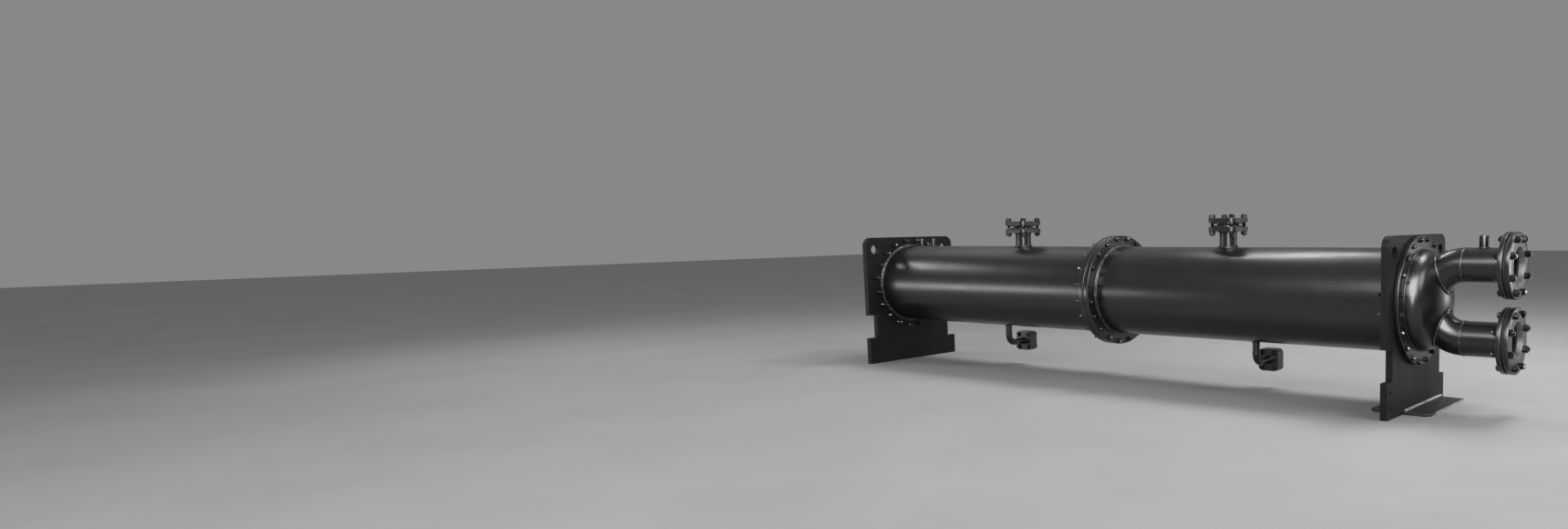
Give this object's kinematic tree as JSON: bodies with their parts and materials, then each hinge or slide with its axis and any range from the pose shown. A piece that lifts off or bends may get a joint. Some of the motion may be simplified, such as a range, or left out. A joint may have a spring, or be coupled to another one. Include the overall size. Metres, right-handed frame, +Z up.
{
  "type": "shell and tube heat exchanger",
  "caption": "Long horizontal cylindrical pressure shell on two upright steel plates, with bolted domed ends, two flanged water nozzles on one end, two top nozzles and two bottom drains.",
  "frame": {"origin": "on the floor, at the middle of the underside of the left plate, the one away from the water nozzles", "axes": "+X along the shell towards the water nozzles, +Y across the shell away from the side with the shorter plate notch, +Z up"},
  "size_m": [3.5172, 0.59, 0.77],
  "materials": {
    "bolt_steel": "plated steel, touched with paint",
    "cover_paint": "satin black paint",
    "flange_paint": "satin black paint, worn at the rims",
    "gasket_dark": "dark sheet gasket",
    "gasket_red": "red-brown sheet gasket",
    "nozzle_paint": "satin black paint",
    "plate_paint": "satin black paint, bare at the cut edges",
    "shell_paint": "satin black paint"
  },
  "bodies": {
    "root": {"inner_foot": "plate_paint", "joint_bolts": "bolt_steel", "joint_gasket": "gasket_dark", "left_cover_bolts": "bolt_steel", "left_cover_flange": "cover_paint", "left_cover_gasket": "gasket_dark", "left_drain_bolts": "bolt_steel", "left_drain_counter_flange": "flange_paint", "left_drain_flange": "flange_paint", "left_drain_gasket": "gasket_dark", "left_drain_pipe": "nozzle_paint", "left_gas_bolts": "bolt_steel", "left_gas_counter_flange": "flange_paint", "left_gas_flange": "flange_paint", "left_gas_pipe": "nozzle_paint", "left_gas_seal": "gasket_dark", "left_head": "cover_paint", "left_joint_flange": "flange_paint", "left_plate": "plate_paint", "left_shell": "shell_paint", "lower_bolts": "bolt_steel", "lower_counter_flange": "flange_paint", "lower_elbow": "nozzle_paint", "lower_flange": "flange_paint", "lower_gasket": "gasket_red", "lower_pipe": "nozzle_paint", "outer_foot": "plate_paint", "right_cover_bolts": "bolt_steel", "right_cover_flange": "cover_paint", "right_cover_gasket": "gasket_dark", "right_drain_bolts": "bolt_steel", "right_drain_counter_flange": "flange_paint", "right_drain_flange": "flange_paint", "right_drain_gasket": "gasket_dark", "right_drain_pipe": "nozzle_paint", "right_gas_bolts": "bolt_steel", "right_gas_counter_flange": "flange_paint", "right_gas_flange": "flange_paint", "right_gas_pipe": "nozzle_paint", "right_gas_seal": "gasket_dark", "right_head": "cover_paint", "right_joint_flange": "flange_paint", "right_plate": "plate_paint", "right_shell": "shell_paint", "shell_couplings": "nozzle_paint", "shell_plugs": "bolt_steel", "upper_bolts": "bolt_steel", "upper_counter_flange": "flange_paint", "upper_elbow": "nozzle_paint", "upper_flange": "flange_paint", "upper_gasket": "gasket_red", "upper_pipe": "nozzle_paint", "vent_coupling": "nozzle_paint", "vent_plug": "bolt_steel"}
  },
  "joints": []
}
